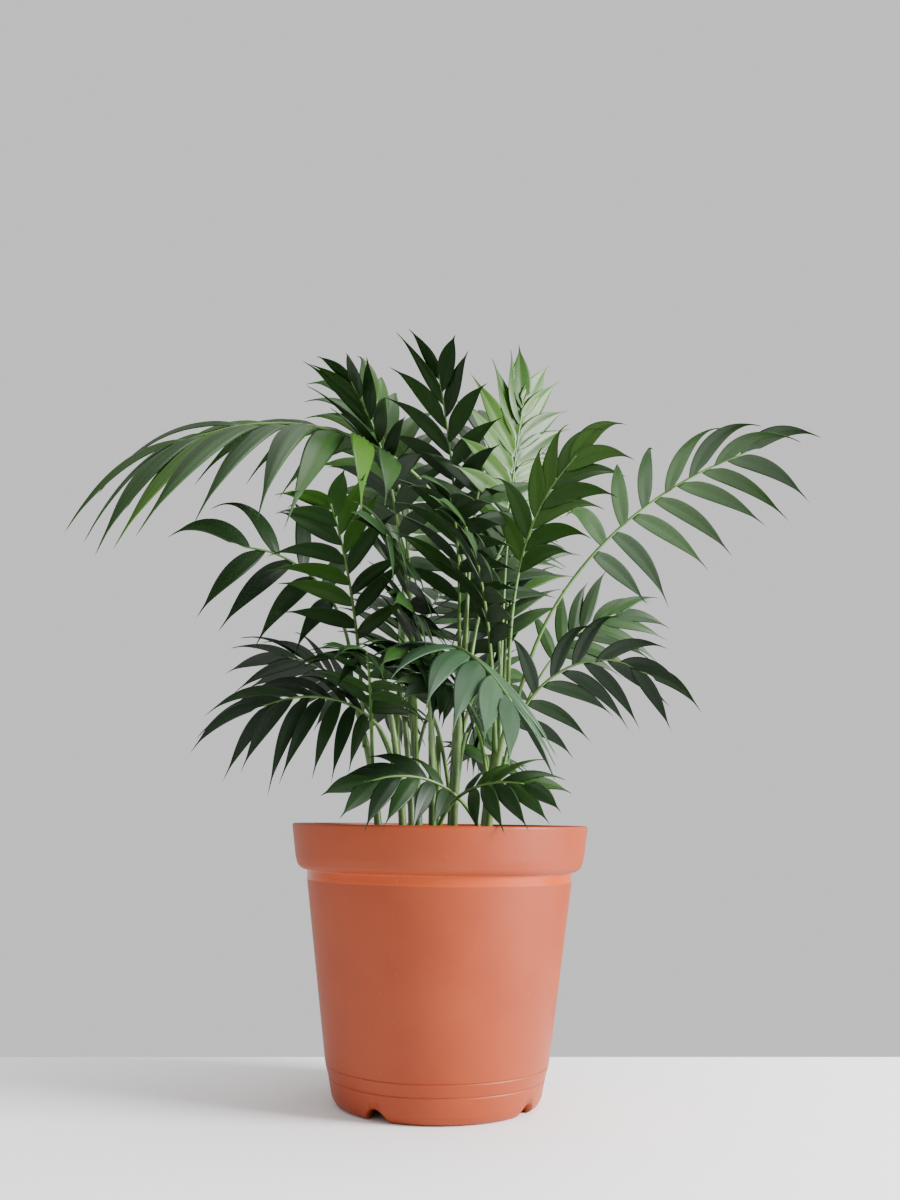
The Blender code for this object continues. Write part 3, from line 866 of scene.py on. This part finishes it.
def make_frond(name, found, leaves, rng):
    """All leaflets of a frond, each bent a little and given one of its tones, which paint light,
    shade and sky reflection into the leaf's green.
    """
    choice = painted_light_and_shade(name, found)
    kinds = sorted(set(choice))
    shapes, slots = [], []
    for leaflet in found:
        sag, sway = rng.uniform(0.0, SAG_MOST), rng.uniform(-SWAY_MOST, SWAY_MOST)
        shape = fine_blade(leaflet, sag, sway, rng.uniform(-TWIST_MOST, TWIST_MOST))
        shapes.append(shape)
        slots += [kinds.index(rng.choice(choice))] * len(shape[1])
    verts, faces = joined(shapes)
    return mesh_piece("fine_" + name, verts, faces, [leaves[kind] for kind in kinds], slots)


def camera_turn():
    """The camera's rotation: looking along +Y, pitched up and rolled a little."""
    pitch = Matrix.Rotation(math.radians(90 + CAMERA_PITCH), 3, "X")
    return pitch @ Matrix.Rotation(math.radians(CAMERA_ROLL), 3, "Z")


def floor_point(across, down):
    """Where a pixel of the photograph meets the floor, in metres."""
    ray = camera_turn() @ Vector(((across - PHOTO_WIDE / 2) / FOCAL_PIXELS,
                                  (PHOTO_HIGH / 2 - down) / FOCAL_PIXELS, -1.0))
    place = Vector(CAMERA_PLACE) * MM
    return place + ray * (-place.z / ray.z)


def make_stage():
    """A pale floor whose far edge lies on the photograph's line."""
    left = floor_point(FLOOR_LEFT, FLOOR_LINE)
    right = floor_point(FLOOR_RIGHT, FLOOR_LINE)
    reach = (right - left).normalized()
    left = left - reach * STAGE_WIDER
    right = right + reach * STAGE_WIDER
    corners = [left, right, right + Vector((STAGE_FLARE, -STAGE_DEEP, 0)),
               left + Vector((-STAGE_FLARE, -STAGE_DEEP, 0))]
    mesh = bpy.data.meshes.new("floor")
    mesh.from_pydata([tuple(c) for c in corners], [], [(3, 2, 1, 0)])
    floor = bpy.data.objects.new("floor", mesh)
    bpy.context.scene.collection.objects.link(floor)
    made, _, _ = new_material("floor_paint", FLOOR, rough=0.85)
    mesh.materials.append(made)


def area_light(name, place, target, size, power):
    data = bpy.data.lights.new(name, "AREA")
    data.shape = "SQUARE"
    data.size = size
    data.energy = power
    light = bpy.data.objects.new(name, data)
    light.location = place
    light.rotation_euler = (Vector(target) - Vector(place)).to_track_quat("-Z", "Y").to_euler()
    bpy.context.scene.collection.objects.link(light)


def make_lights():
    """Plain pale surroundings, a soft key from the right and a weaker light above."""
    world = bpy.data.worlds.new("studio")
    bpy.context.scene.world = world
    world.use_nodes = True
    back = world.node_tree.nodes["Background"]
    back.inputs["Color"].default_value = (*WALL, 1.0)
    back.inputs["Strength"].default_value = 1.0
    area_light("key", KEY_PLACE, KEY_TARGET, KEY_SIZE, KEY_POWER)
    area_light("top", TOP_PLACE, TOP_TARGET, TOP_SIZE, TOP_POWER)


def make_camera():
    data = bpy.data.cameras.new("camera")
    data.lens = CAMERA_LENS
    data.sensor_width = CAMERA_LENS
    data.clip_start = CLIP_NEAR
    camera = bpy.data.objects.new("camera", data)
    camera.matrix_world = Matrix.Translation(Vector(CAMERA_PLACE) * MM) @ camera_turn().to_4x4()
    bpy.context.scene.collection.objects.link(camera)
    bpy.context.scene.camera = camera


def rest(piece, slot, *nodes):
    """Rests a piece on the one body and hides the nodes that it stands for; the slot is not used."""
    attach(piece, "root")
    if nodes:
        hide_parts(*nodes)


def main():
    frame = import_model()
    rest(make_pot(), "pot", "pot")
    rest(make_soil(), "soil", "soil")
    canes = sorted(node for node in frame["nodes"] if node.startswith("cane_"))
    rest(make_canes([cane_line(index) for index in range(CANES)]), "cane", *canes)
    walls = lathe(POT_UNDER + POT_OUTER + POT_INNER, SIDES)
    fronds = plan_plant([walls, lathe(soil_outline(), SIDES)])
    leaves = leaf_materials()
    rng = random.Random(LEAF_SEED)
    for name, (_, found) in fronds.items():
        rest(make_frond(name, found, leaves, rng), "frond", "frond_" + name)
    rest(make_ribs([line for line, _ in fronds.values()]), "frond")
    make_stage()
    make_lights()
    make_camera()


main()
